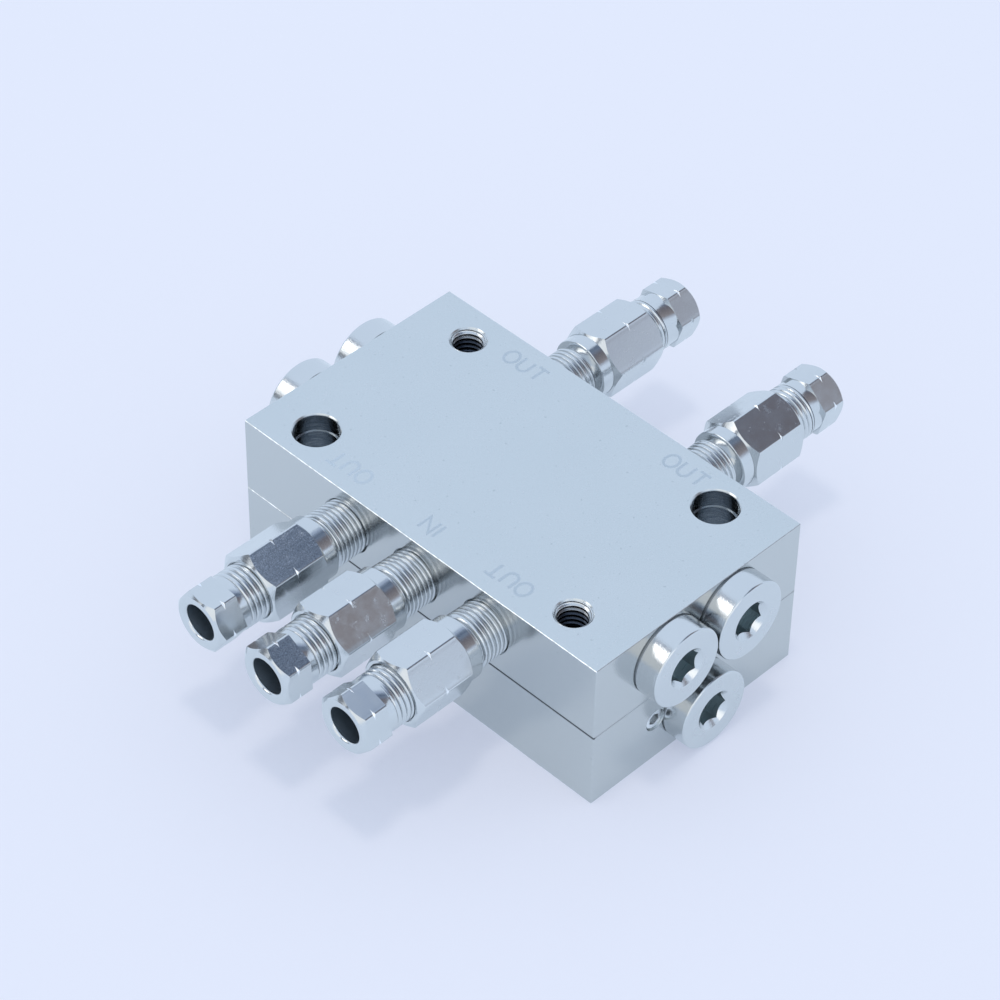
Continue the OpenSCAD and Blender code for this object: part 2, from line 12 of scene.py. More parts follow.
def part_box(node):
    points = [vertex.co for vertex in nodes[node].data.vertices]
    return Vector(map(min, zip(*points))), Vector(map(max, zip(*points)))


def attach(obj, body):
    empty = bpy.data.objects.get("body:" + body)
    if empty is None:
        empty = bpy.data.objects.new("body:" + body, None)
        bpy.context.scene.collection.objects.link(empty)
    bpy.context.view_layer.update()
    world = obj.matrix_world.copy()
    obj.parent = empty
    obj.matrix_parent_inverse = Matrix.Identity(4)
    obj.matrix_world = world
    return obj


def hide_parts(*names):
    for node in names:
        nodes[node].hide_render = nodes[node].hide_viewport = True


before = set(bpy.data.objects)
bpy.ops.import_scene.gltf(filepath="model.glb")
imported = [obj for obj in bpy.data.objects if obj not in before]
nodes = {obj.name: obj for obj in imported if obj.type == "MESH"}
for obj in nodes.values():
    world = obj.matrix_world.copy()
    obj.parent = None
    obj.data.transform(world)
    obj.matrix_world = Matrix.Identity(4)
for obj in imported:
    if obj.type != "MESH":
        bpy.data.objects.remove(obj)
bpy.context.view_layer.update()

# Lengths are in millimetres up to the studio, and MM turns them into metres
MM = 0.001
BODY = "block"

# Height of the joint between the plates
JOINT_Z = 15.0

# Fitting bodies, measured along the axis from the tip of the pipe thread
BODY_THREAD_L = 15.1
PIPE_PITCH = 0.907
PIPE_RIDGE = 0.38
PIPE_TAPER = 1 / 32
PIPE_TIP_R = 4.56
NECK_R = 4.5
NECK_L = 0.9
COLLAR_R = 5.7
COLLAR_L = 2.4
BODY_AF = 12.0
BODY_HEX_L = 12.0
BODY_NICK = 6.4
BODY_FACE_R = 5.75
GLAND_R = 5.06
GLAND_DEPTH = 7.4
SEAT_R = 3.84
SEAT_L = 3.0
SOCKET_L = 3.0
PASSAGE_R = 1.6

# Gland nuts, measured along the axis from the nose
TUBE_BORE_R = 3.2
NUT_PITCH = 1.0
NUT_RIDGE = 0.34
NUT_THREAD_R = 5.0
NUT_SHANK_L = 11.0
NUT_SHANK_R = 4.95
NUT_AF = 10.0
NUT_HEX_L = 5.2
NUT_NICK = 2.6
NUT_FACE_R = 4.75
NUT_MOUTH = 0.6
MOUTH_STEPS = 5

# Hexagons: degrees from the middle of a flat to a corner, and the flat's share of a corner's radius
HALF_SIDE = 30.0
FLAT_SHARE = math.cos(math.radians(HALF_SIDE))
FLAT_STEPS = (0.0, 5.0, 10.0, 15.0, 20.0, 25.0)
HEX_ROUND = 0.45
HEX_CHAMFER = math.tan(math.radians(40))
CORNER_RELIEF = 0.06
NICK_DEPTH = 0.42
NICK_SLOPE = 0.85

# Edges of turned pieces: their rounding, and a narrow strip beside it that keeps the shading even
EDGE = 0.2
EDGE_STEPS = 3
SUPPORT = 0.03
SHARP_ANGLE = math.radians(26)
MERGE = 0.0001

# Thread over one pitch from root to root: share of the pitch and share of the ridge
THREAD_PROFILE = (
    (0.0, 0.0), (0.06, 0.03), (0.24, 0.86), (0.30, 0.98), (0.36, 1.0), (0.68, 1.0),
    (0.74, 0.98), (0.80, 0.86), (0.96, 0.03))
# Share of the ridge gained per pitch at a thread's ends, and the rise below which a strip is root
THREAD_FADE = 1.6
ROOT_RISE = 0.1

# End plugs, measured along the axis from the inner end
PLUG_THREAD_R = 4.85
PLUG_TIP = 0.5
PLUG_SHOULDER = 9.25
PLUG_L = 13.5
PLUG_COLLAR_R = 7.25
PLUG_RIM = 0.35
PLUG_RIM_STEPS = 6
PLUG_UNDERSIDE = 0.08
PLUG_KEY = 5.5
PLUG_KEY_DEPTH = 4.4
PLUG_KEY_ROUND = 0.08
PLUG_MOUTH_R = 3.7

# Mounting holes: places of their axes and radius of their mouths
MOUNT_HOLES = ((-30.0, -16.7), (27.8, 16.7))
MOUNT_MOUTH_R = 3.9

# Tapped corner holes
TAP_OUTER_R = 3.05
TAP_ROOT_R = 3.0
TAP_RIDGE = 0.5
TAP_PITCH = 1.0
TAP_DEPTH = 5.9
TAP_COLUMNS = 72

# Port marks on the top face: letter height, stroke width and letter pitch of each word
MARK_H = 3.1
MARK_STROKE = 0.5
MARK_PITCH = {"OUT": 3.05, "IN": 2.15}
MARK_PROUD = 0.005
MARK_SUNK = 0.05

# Camera solved from the photograph: aim, direction, roll, distance and focal length
CAM_AIM = (-8.42, 4.37, 15.0)
CAM_AZIMUTH = 44.25
CAM_ELEVATION = 43.44
CAM_ROLL = 1.03
CAM_DISTANCE = 613.4
CAM_FOCAL_PIXELS = 3691.8
IMAGE_PIXELS = 1000.0
SENSOR = 36.0


def add_object(name, data):
    made = bpy.data.objects.new(name, data)
    bpy.context.scene.collection.objects.link(made)
    return made


# Node helpers, with the places of the colour sockets on a mix node
MIX_FACTOR, MIX_A, MIX_B = 0, 6, 7
MIX_RESULT = 2


def node(tree, kind, inputs=None, **settings):
    """Adds a shader node, sets its properties, and fills or links its inputs."""
    made = tree.nodes.new(kind)
    for key, value in settings.items():
        setattr(made, key, value)
    for key, value in (inputs or {}).items():
        if isinstance(value, bpy.types.NodeSocket):
            tree.links.new(value, made.inputs[key])
        else:
            made.inputs[key].default_value = value
    return made


def math_node(tree, operation, a, b=0.0):
    return node(tree, "ShaderNodeMath", {0: a, 1: b}, operation=operation).outputs[0]


def vector_node(tree, operation, a, b=(0.0, 0.0, 0.0), result="Vector"):
    made = node(tree, "ShaderNodeVectorMath", {0: a, 1: b}, operation=operation)
    return made.outputs[result]


def split(tree, vector):
    """Outputs X, Y and Z of a vector."""
    return node(tree, "ShaderNodeSeparateXYZ", {0: vector}).outputs


def coordinate(tree, kind):
    return node(tree, "ShaderNodeTexCoord").outputs[kind]


def remap(tree, value, low, high, to_low=0.0, to_high=1.0):
    """Value from low..high to to_low..to_high, held at both ends."""
    inputs = {
        "Value": value, "From Min": low, "From Max": high, "To Min": to_low, "To Max": to_high}
    return node(tree, "ShaderNodeMapRange", inputs).outputs["Result"]


def rgba(colour):
    return (*colour, 1.0)


def mix_colour(tree, factor, a, b):
    """Mix of two colours, each of which is a tuple or comes from another node."""
    inputs = {MIX_FACTOR: factor}
    for key, colour in ((MIX_A, a), (MIX_B, b)):
        inputs[key] = rgba(colour) if isinstance(colour, tuple) else colour
    return node(tree, "ShaderNodeMix", inputs, data_type="RGBA").outputs[MIX_RESULT]


def noise(tree, place, scale, detail=2.0, roughness=0.5, stretch=(1, 1, 1)):
    """Noise in the object's frame: scale is features per millimetre, stretch scales it by axis."""
    per_metre = tuple(scale * s / MM for s in stretch)
    inputs = {
        "Vector": vector_node(tree, "MULTIPLY", place, per_metre),
        "Scale": 1.0, "Detail": detail, "Roughness": roughness}
    return node(tree, "ShaderNodeTexNoise", inputs).outputs["Fac"]


def new_material(name):
    material = bpy.data.materials.new(name)
    material.use_nodes = True
    tree = material.node_tree
    return material, tree, tree.nodes["Principled BSDF"], coordinate(tree, "Object")


def coat(tree, shader, colour, metallic, roughness):
    tree.links.new(colour, shader.inputs["Base Color"])
    shader.inputs["Metallic"].default_value = metallic
    tree.links.new(roughness, shader.inputs["Roughness"])


def bump(tree, shader, height, strength, depth_mm):
    inputs = {"Height": height, "Strength": strength, "Distance": depth_mm * MM}
    made = node(tree, "ShaderNodeBump", inputs)
    tree.links.new(made.outputs["Normal"], shader.inputs["Normal"])


# Share of its width, measured from the edge, over which an edge mask is full
EDGE_FULL = 0.6


def box_edge_mask(tree, place, low, high, width_mm):
    """1 on the edges of a box and 0 further than width_mm from them."""
    middle, half = (low + high) / 2, (high - low) / 2
    size = vector_node(tree, "ABSOLUTE", vector_node(tree, "SUBTRACT", place, tuple(middle)))
    x, y, z = split(tree, vector_node(tree, "SUBTRACT", size, tuple(half)))
    xy, xz, yz = (math_node(tree, "MINIMUM", a, b) for a, b in ((x, y), (x, z), (y, z)))
    nearest = math_node(tree, "MAXIMUM", math_node(tree, "MAXIMUM", xy, xz), yz)
    return remap(tree, nearest, -width_mm * MM, -EDGE_FULL * width_mm * MM)


def axis_distance(tree, place, x, y):
    """Distance from an upright axis at x, y."""
    offset = vector_node(tree, "SUBTRACT", place, (x * MM, y * MM, 0.0))
    level = vector_node(tree, "MULTIPLY", offset, (1.0, 1.0, 0.0))
    return vector_node(tree, "LENGTH", level, result="Value")


# Finishes. A span is the part of a value's range over which something changes.
METAL = 1.0
NOISE_SPAN = (0.3, 0.7)

# Plates: shades, from dark to pale where there are two
GROUND = ((0.64, 0.68, 0.69), (0.68, 0.71, 0.72))
# Upright sides: painted shade, a darker colour than the top
SIDE_PAINTED_SHADE = (0.59, 0.605, 0.605)
PIT_TINT = (0.42, 0.45, 0.47)
# Pale edges: partly wear, partly painted highlight
WEAR_AND_HIGHLIGHT_TINT = (0.93, 0.95, 0.97)
DIRT_TINT = (0.10, 0.11, 0.12)
HOLE_WALL = ((0.49, 0.53, 0.56), (0.95, 0.96, 0.96))
# Painted shade for the level faces inside the drilled holes
HOLE_FLOOR_PAINTED_SHADE = (0.26, 0.29, 0.32)
# Plates: pits, and pale edges that are partly wear and partly painted highlight, weaker away from
# the front side and on upright edges
PIT_SPAN = (0.71, 0.76)
PIT_SHARE = 0.35
WEAR_AND_HIGHLIGHT_WIDTH = 0.17
WEAR_AND_HIGHLIGHT_SPAN = (0.40, 0.58)
FRONT_DEPTH = (0.3, 0.4)
OFF_FRONT = 0.2
LEVEL_DEPTH = (0.3, 0.2)
UPRIGHT = 0.12
# Plates: dirt in the joint, which fades towards the left end, and the drilled holes, with painted
# shade on their level faces
JOINT_REACH = (0.1, 0.3)
DIRT_X = (-34.0, -16.0)
MOUTH_REACH = (0.05, 0.1)
DRILL_STRETCH = (0.35, 0.35, 7.0)
DRILL_SPAN = (0.38, 0.68)
# Plates: roughness of the sides and of the level faces, and what grain and dirt add to it
LEVEL_SPAN = (0.5, 0.9)
SIDE_ROUGH = 0.17
LEVEL_ROUGH = 0.26
GRAIN_ROUGH = 0.015
DIRT_ROUGH = 0.4


def plate_finish(name, low, high):
    """Ground steel under bright zinc: cloudy tint with painted shade on the sides, pits, edges with
    wear and painted highlight, dirty joint, drilled holes with painted shade.
    """
    material, tree, shader, place = new_material(name)
    x, y, z = split(tree, place)
    level = math_node(tree, "ABSOLUTE", split(tree, coordinate(tree, "Normal"))["Z"])

    ground = mix_colour(tree, noise(tree, place, scale=0.06, detail=3.0), *GROUND)
    # Painted shade: upright faces get the darker side colour
    tint = mix_colour(tree, level, SIDE_PAINTED_SHADE, ground)
    pits = remap(tree, noise(tree, place, scale=1.4, detail=1.0), *PIT_SPAN)
    pitted = mix_colour(tree, math_node(tree, "MULTIPLY", pits, PIT_SHARE), tint, PIT_TINT)

    front = remap(tree, y, *(low.y + depth * MM for depth in FRONT_DEPTH), 1.0, OFF_FRONT)
    middle, half = (low.z + high.z) / 2, (high.z - low.z) / 2
    off_middle = math_node(tree, "ABSOLUTE", math_node(tree, "SUBTRACT", z, middle))
    level_edge = remap(
        tree, off_middle, *(half - depth * MM for depth in LEVEL_DEPTH), UPRIGHT, 1.0)
    broken = remap(tree, noise(tree, place, scale=0.9, detail=3.0), *WEAR_AND_HIGHLIGHT_SPAN)
    bright = math_node(tree, "MULTIPLY", broken, math_node(tree, "MULTIPLY", front, level_edge))
    edges = math_node(tree, "MULTIPLY", box_edge_mask(tree, place, low, high, WEAR_AND_HIGHLIGHT_WIDTH), bright)
    # Pale edges, partly wear and partly painted highlight, strongest on the front side
    worn_and_highlit = mix_colour(tree, edges, pitted, WEAR_AND_HIGHLIGHT_TINT)

    off_joint = math_node(tree, "ABSOLUTE", math_node(tree, "SUBTRACT", z, JOINT_Z * MM))
    joint = remap(tree, off_joint, *(reach * MM for reach in JOINT_REACH), 1.0, 0.0)
    dirt = math_node(tree, "MULTIPLY", front, remap(tree, x, *(end * MM for end in DIRT_X)))
    dirty = math_node(tree, "MULTIPLY", joint, dirt)
    soiled = mix_colour(tree, dirty, worn_and_highlit, DIRT_TINT)

    from_axis = math_node(
        tree, "MINIMUM", *(axis_distance(tree, place, *hole) for hole in MOUNT_HOLES))
    inside = remap(
        tree, from_axis, *((MOUNT_MOUTH_R + reach) * MM for reach in MOUTH_REACH), 1.0, 0.0)
    rings = noise(tree, place, scale=1.0, roughness=0.6, stretch=DRILL_STRETCH)
    wall = mix_colour(tree, remap(tree, rings, *DRILL_SPAN), *HOLE_WALL)
    # Painted shade on the level faces inside the holes
    drilled = mix_colour(tree, level, wall, HOLE_FLOOR_PAINTED_SHADE)

    grain = noise(tree, place, scale=2.2, detail=3.0, roughness=0.6)
    grain_rough = remap(tree, grain, *NOISE_SPAN, 0.0, GRAIN_ROUGH)
    face_rough = remap(tree, level, *LEVEL_SPAN, SIDE_ROUGH, LEVEL_ROUGH)
    clean_rough = math_node(tree, "ADD", grain_rough, face_rough)
    rough = math_node(tree, "ADD", clean_rough, math_node(tree, "MULTIPLY", dirty, DIRT_ROUGH))
    coat(tree, shader, mix_colour(tree, inside, soiled, drilled), METAL, rough)
    bump(tree, shader, grain, strength=1.0, depth_mm=0.0003)
    return material


# Fittings and plugs: shades from dark to pale
ZINC = ((0.65, 0.675, 0.69), (0.70, 0.72, 0.73))
# Painted shade for the insides of the bores
BORE_PAINTED_SHADE = ((0.22, 0.265, 0.31), (0.30, 0.36, 0.41))
# Painted shade for the roots of the threads
ROOT_PAINTED_SHADE = ((0.10, 0.11, 0.125), (0.17, 0.185, 0.20))
# Painted shade and painted reflection, darker and teal, for the insides of the plug sockets
SOCKET_PAINTED_SHADE = ((0.40, 0.47, 0.49), (0.60, 0.66, 0.67))
# Painted highlight for the walls of the nicks
NICK_PAINTED_HIGHLIGHT = ((0.90, 0.92, 0.94), (0.96, 0.97, 0.98))
SPARKLE = ((0.48, 0.49, 0.50), (0.92, 0.93, 0.94))
# Fittings and plugs: spans of the effects, and how far fine lines change roughness and height
SPARKLE_SPAN = (0.36, 0.68)
SPARKLE_FACE = (0.97, 0.98)
SCUFF_SPAN = (0.56, 0.70)
LINE_SPAN = (0.35, 0.65)
LINE_ROUGH = (-0.03, 0.05)
LINE_HEIGHT = 0.3


def fitting_finish(name, shades, rough, stretch, grain, depth, scuffs=0.0, sparkle=None):
    """Glossy zinc on turned or drawn steel: fine lines, and grains that break reflections.

    stretch scales the lines by axis. grain is the number of grains per millimetre and depth
    their height in millimetres. scuffs is the roughness that scattered scuff marks add, and
    sparkle the outward direction of a face whose shades follow the grains.
    """
    material, tree, shader, place = new_material(name)
    lines = noise(tree, place, scale=1.0, roughness=0.6, stretch=stretch)
    grains = noise(tree, place, scale=grain, detail=1.5, roughness=0.6)
    tint = mix_colour(tree, noise(tree, place, scale=0.12), *shades)
    if sparkle:
        normal = coordinate(tree, "Normal")
        toward = vector_node(tree, "DOT_PRODUCT", normal, sparkle, result="Value")
        grainy = mix_colour(tree, remap(tree, grains, *SPARKLE_SPAN), *SPARKLE)
        tint = mix_colour(tree, remap(tree, toward, *SPARKLE_FACE), tint, grainy)
    scattered = noise(tree, place, scale=0.6, detail=4.0, roughness=0.7)
    marks = remap(tree, scattered, *SCUFF_SPAN, 0.0, scuffs)
    drawn = remap(tree, lines, *LINE_SPAN, *(rough + step for step in LINE_ROUGH))
    coat(tree, shader, tint, METAL, math_node(tree, "ADD", drawn, marks))
    height = math_node(tree, "ADD", math_node(tree, "MULTIPLY", lines, LINE_HEIGHT), grains)
    bump(tree, shader, height, strength=1.0, depth_mm=depth)
    return material


STEEL_ROUGH = (-0.06, 0.08)


def steel_finish(name, dark, light, rough, metallic=METAL):
    """Plain metal or rubber with a mottled tint and a fine grain."""
    material, tree, shader, place = new_material(name)
    tint = mix_colour(tree, noise(tree, place, scale=0.5, detail=3.0), dark, light)
    grains = noise(tree, place, scale=3.0)
    roughness = remap(tree, grains, *NOISE_SPAN, *(rough + step for step in STEEL_ROUGH))
    coat(tree, shader, tint, metallic, roughness)
    bump(tree, shader, grains, strength=0.08, depth_mm=0.02)
    return material


# Tapped holes: painted shade far down, the depths at which the painted shade is full and at which
# it ends, and grain on those depths
TAP_PAINTED_SHADE = (0.05, 0.06, 0.08)
TAP_LIT = (2.2, 0.3)
TAP_UNEVEN = 0.6
TAP_ROUGH = (0.18, 0.32)


def tapped_finish(top):
    """Thread of a tapped hole: bright at its mouth, with painted shade that darkens it further
    down.
    """
    material, tree, shader, place = new_material("tapped_painted_shade")
    grains = noise(tree, place, scale=3.6)
    uneven = math_node(tree, "MULTIPLY", grains, TAP_UNEVEN * MM)
    height = math_node(tree, "ADD", split(tree, place)["Z"], uneven)
    lit = remap(tree, height, *(top - depth * MM for depth in TAP_LIT))
    roughness = remap(tree, grains, *NOISE_SPAN, *TAP_ROUGH)
    coat(tree, shader, mix_colour(tree, lit, TAP_PAINTED_SHADE, ZINC[0]), METAL, roughness)
    bump(tree, shader, grains, strength=1.0, depth_mm=0.008)
    return material


MARK_METAL = 0.8
MARK_ROUGH = (0.45, 0.6)


def mark_finish(name, dark, light):
    """Etched strokes: matt grey with a fine dotted grain."""
    material, tree, shader, place = new_material(name)
    dots = noise(tree, place, scale=4.0, detail=1.0)
    roughness = remap(tree, dots, *NOISE_SPAN, *MARK_ROUGH)
    coat(tree, shader, mix_colour(tree, dots, dark, light), MARK_METAL, roughness)
    bump(tree, shader, dots, strength=0.1, depth_mm=0.02)
    return material


# Stretch of turned rings and drawn lines, by the axis that they go with
ALONG_Y_RINGS = (0.15, 7.0, 0.15)
ALONG_Y_LINES = (5.0, 0.15, 5.0)
ALONG_X_RINGS = (7.0, 0.15, 0.15)
EVEN = (0.4, 0.4, 0.4)
# Outward direction of the flats that sparkle
SPARKLE_OUT = (0.4115, 0.0, 0.9114)

# Zinc finishes have shades, roughness, stretch, grains per millimetre and the height of a grain.
# Steel finishes have a dark shade, a pale shade and roughness.
finish = {
    "turned": fitting_finish("turned_zinc", ZINC, 0.15, ALONG_Y_RINGS, 3.6, 0.006),
    "flat": fitting_finish("drawn_zinc", ZINC, 0.17, EVEN, 3.0, 0.0035, scuffs=0.16),
    "nut_flat": fitting_finish("nut_zinc", ZINC, 0.21, EVEN, 3.0, 0.0025),
    "grainy": fitting_finish(
        "grainy_zinc", ZINC, 0.14, ALONG_Y_LINES, 6.5, 0.008, scuffs=0.1, sparkle=SPARKLE_OUT),
    "deep": fitting_finish("bore_painted_shade", BORE_PAINTED_SHADE, 0.42, ALONG_Y_RINGS, 3.6, 0.01),
    "root": fitting_finish("root_painted_shade", ROOT_PAINTED_SHADE, 0.35, ALONG_Y_RINGS, 3.6, 0.01),
    "thread": fitting_finish("thread_zinc", ZINC, 0.20, ALONG_Y_RINGS, 4.5, 0.012),
    "bright": fitting_finish("nick_painted_highlight", NICK_PAINTED_HIGHLIGHT, 0.15, ALONG_Y_RINGS, 3.6, 0.004),
    "plug": fitting_finish("plug_zinc", ZINC, 0.15, ALONG_X_RINGS, 4.5, 0.018),
    "plug_face": fitting_finish("faced_zinc", ZINC, 0.24, ALONG_X_RINGS, 3.0, 0.003),
    "socket": fitting_finish("socket_painted_shade", SOCKET_PAINTED_SHADE, 0.30, ALONG_X_RINGS, 3.6, 0.01),
    # Washers are dark: painted shade for the narrow gap under the plug collars
    "washer": steel_finish("washer_steel", (0.30, 0.32, 0.34), (0.40, 0.42, 0.44), 0.4),
    "piston": steel_finish("piston_steel", (0.56, 0.57, 0.59), (0.66, 0.67, 0.69), 0.2),
    "screw": steel_finish("black_oxide", (0.045, 0.045, 0.05), (0.09, 0.09, 0.10), 0.42),
    "grub": steel_finish("grub_steel", (0.84, 0.87, 0.89), (0.93, 0.95, 0.96), 0.3),
    "ferrule": steel_finish("ferrule_brass", (0.70, 0.55, 0.25), (0.80, 0.66, 0.36), 0.25),
    "seal": steel_finish(
        "seal_rubber", (0.02, 0.02, 0.022), (0.045, 0.045, 0.05), 0.6, metallic=0.0),
    "tapped": tapped_finish(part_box("upper_plate")[1].z),
    "mark": mark_finish("etched_mark", (0.46, 0.515, 0.555), (0.64, 0.695, 0.735)),
    "faint_mark": mark_finish("faint_mark", (0.54, 0.60, 0.64), (0.665, 0.715, 0.755)),
}


def dress(name, material):
    data = nodes[name].data
    data.materials.clear()
    data.materials.append(material)


for plate in ("upper_plate", "lower_plate"):
    dress(plate, plate_finish(plate + "_zinc", *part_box(plate)))
NODE_FINISH = (
    ("washer_", "washer"), ("piston_", "piston"), ("clamp_screw", "screw"),
    ("crossover_screw", "grub"), ("seal_", "seal"))
for name in nodes:
    for start, key in NODE_FINISH:
        if name.startswith(start):
            dress(name, finish[key])
    if name.endswith("_ferrule"):
        dress(name, finish["ferrule"])


# Turned pieces are closed grids: rows run along the profile, columns run round the axis.
# A row is a function from angle to radius and station, with the finish of the strip after it.
def hexagon_columns(turn, af, corner_round=HEX_ROUND):
    """Angles round the axis: close together at the rounded corners, wider apart on the flats."""
    flat_r = af / 2
    half_flat = (flat_r - corner_round) * math.tan(math.radians(HALF_SIDE))
    tangent = math.degrees(math.atan(half_flat / flat_r))
    corner = HALF_SIDE - tangent
    rounding = (tangent - corner / 3, tangent, tangent + corner / 3, tangent + 2 * corner / 3)
    half = [*FLAT_STEPS, *rounding]
    side = [-a for a in reversed(half)] + half[1:] + [HALF_SIDE]
    return [turn + HALF_SIDE + 2 * HALF_SIDE * k + a for k in range(6) for a in side]


def hexagon_radius(angle, turn, af, corner_round=HEX_ROUND):
    """Distance from the axis to a hexagon with slightly rounded corners."""
    from_corner = (angle - turn + HALF_SIDE) % (2 * HALF_SIDE) - HALF_SIDE
    flat_r = af / 2
    flat = flat_r / math.cos(math.radians(HALF_SIDE - abs(from_corner)))
    centre = (flat_r - corner_round) / FLAT_SHARE
    across = centre * math.sin(math.radians(from_corner))
    if abs(across) >= corner_round:
        return flat
    along = centre * math.cos(math.radians(from_corner))
    return min(flat, along + math.sqrt(corner_round ** 2 - across ** 2))


def ring(radius, station, kind="turned"):
    """Row that is a plain circle."""
    return (lambda angle: (radius, station)), kind


def thread_rows(start, end, pitch, root, ridge, seam, first_turn, runs_out=False):
    """Rows that wind round the axis as a right-hand thread.

    root gives the radius between the ridges, and ridge is their height, below 0 in a hole. seam
    is the angle of the first column, and first_turn the number of pitches from start to the
    first row there. Each row climbs by one pitch in a turn and then goes on as a later row. The
    ridge fades at both ends, or the groove fades at the end where the thread runs out.
    """
    steps = len(THREAD_PROFILE)

    def row(base, rise):
        def at(angle):
            station = min(end, max(start, base + pitch * (angle - seam) / 360.0))
            fade_in = min(1.0, THREAD_FADE * (station - start) / pitch)
            fade_out = min(1.0, THREAD_FADE * (end - station) / pitch)
            if runs_out:
                share = 1.0 - (1.0 - rise * fade_in) * fade_out
            else:
                share = rise * min(fade_in, fade_out)
            return root(station) + ridge * share, station
        return at

    rows = []
    for i in range(math.ceil(((end - start) / pitch + 1) * steps) + 1):
        turn, k = divmod(i, steps)
        share, rise = THREAD_PROFILE[k]
        # Strips by the root of a groove get the root finish, which is painted shade
        low = rise + THREAD_PROFILE[(k + 1) % steps][1] < ROOT_RISE
        base = start + (first_turn + turn + share) * pitch
        rows.append((row(base, rise), "root" if low else "thread"))
    return rows


def hexagon_rows(start, end, turn, af, nick, low_face_r, high_face_r, flat):
    """Rows of a turned hexagon: chamfer scallops at its ends and a nick that cuts its corners."""
    nick_r = af / 2 / FLAT_SHARE + CORNER_RELIEF - NICK_DEPTH

    def scallop(angle, face_r):
        return max(0.0, hexagon_radius(angle, turn, af) - face_r) * HEX_CHAMFER

    def low(angle):
        return hexagon_radius(angle, turn, af), start + scallop(angle, low_face_r)

    def high(angle):
        return hexagon_radius(angle, turn, af), end - scallop(angle, high_face_r)

    def nick_row(side):
        def at(angle):
            radius = hexagon_radius(angle, turn, af)
            half = max(0.0, (radius - nick_r) * NICK_SLOPE)
            return (min(radius, nick_r) if side == 0 else radius), start + nick + side * half
        return at

    # The nick's walls get the bright finish, which is painted highlight
    return [
        (low, flat), (nick_row(-1), "bright"), (nick_row(0), "bright"), (nick_row(1), flat),
        (high, "turned")]


def rounded_step(radius, station, inward, size=EDGE, kind="turned", steps=EDGE_STEPS):
    """Rows of a small rounded edge at a shoulder; inward is -1 where it faces the inner end."""
    rows = []
    for k in range(steps + 1):
        a = math.radians(90 * k / steps)
        edge_r = radius - size + size * math.sin(a)
        rows.append(ring(edge_r, station - inward * size * (1 - math.cos(a)), kind))
    rows.append(ring(radius, station - inward * (size + SUPPORT), kind))
    return rows if inward < 0 else rows[::-1]


def closed_grid(name, columns, rows, place, thread=range(0), shift=0, loop=True):
    """Mesh object from rows, closed round the axis and, with loop, from the last row to the first.

    place is its frame, thread the range of the rows that wind, and shift the number of rows
    after which one of them goes on past the seam.
    """
    verts, faces, kinds = [], [], []
    keys = list(dict.fromkeys(kind for _, kind in rows))
    n, m = len(columns), len(rows)
    for at, _ in rows:
        for angle in columns:
            radius, station = at(angle)
            a = math.radians(angle)
            point = Vector((radius * math.cos(a), radius * math.sin(a), station))
            verts.append(place @ (point * MM))
    for i, (_, kind) in enumerate(rows if loop else rows[:-1]):
        k = (i + 1) % m
        for j in range(n):
            after, above = i, k
            if j == n - 1 and i in thread and k in thread:
                after, above = (min(thread[-1], max(thread[0], r + shift)) for r in (i, k))
            beside = (j + 1) % n
            faces.append((i * n + j, after * n + beside, above * n + beside, k * n + j))
            kinds.append(keys.index(kind))
    mesh = bpy.data.meshes.new(name)
    mesh.from_pydata(verts, [], faces)
    mesh.polygons.foreach_set("material_index", kinds)
    work = bmesh.new()
    work.from_mesh(mesh)
    bmesh.ops.remove_doubles(work, verts=work.verts, dist=MERGE * MM)
    for face in work.faces:
        face.smooth = True
    for edge in work.edges:
        inside = all(keys[face.material_index] in ("thread", "tapped") for face in edge.link_faces)
        edge.smooth = inside or edge.calc_face_angle(0.0) < SHARP_ANGLE
    work.to_mesh(mesh)
    work.free()
    for key in keys:
        mesh.materials.append(finish[key])
    return add_object(name, mesh)


# Turn that brings +Z to the outward side of each axis: what it turns about, and the angle
X_AXIS, Y_AXIS = 0, 1
OUTWARD_TURN = {X_AXIS: ("Y", 90), Y_AXIS: ("X", -90)}


def outward_frame(name, axis):
    """Frame of a turned piece: origin at its inner end on its axis, +Z out of the block."""
    low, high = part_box(name)
    side = 1 if low[axis] + high[axis] > 0 else -1
    origin = (low + high) / 2
    origin[axis] = low[axis] if side > 0 else high[axis]
    about, angle = OUTWARD_TURN[axis]
    return Matrix.Translation(origin) @ Matrix.Rotation(math.radians(angle * side), 4, about)


def solid_points(name, place):
    """Points of a CAD solid in the frame of a piece."""
    back = place.inverted()
    return [back @ v.co for v in nodes[name].data.vertices]


def corner_angle(name, place):
    """Angle of a hexagon corner, from the solid's point that lies furthest from the axis."""
    top = max(solid_points(name, place), key=lambda p: p.x ** 2 + p.y ** 2)
    return math.degrees(math.atan2(top.y, top.x))


def fitting_piece(node_name, af, make_rows):
    """Replaces a fitting's solid by a grid with a true helical thread."""
    place = outward_frame(node_name, Y_AXIS)
    turn = corner_angle(node_name, place)
    columns = hexagon_columns(turn, af)
    before, thread, after = make_rows(turn, columns[0])
    rows = [*before, *thread, *after]
    winding = range(len(before), len(before) + len(thread))
    piece = closed_grid(
        node_name + "_threaded", columns, rows, place, winding, len(THREAD_PROFILE))
    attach(piece, BODY)
    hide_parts(node_name)


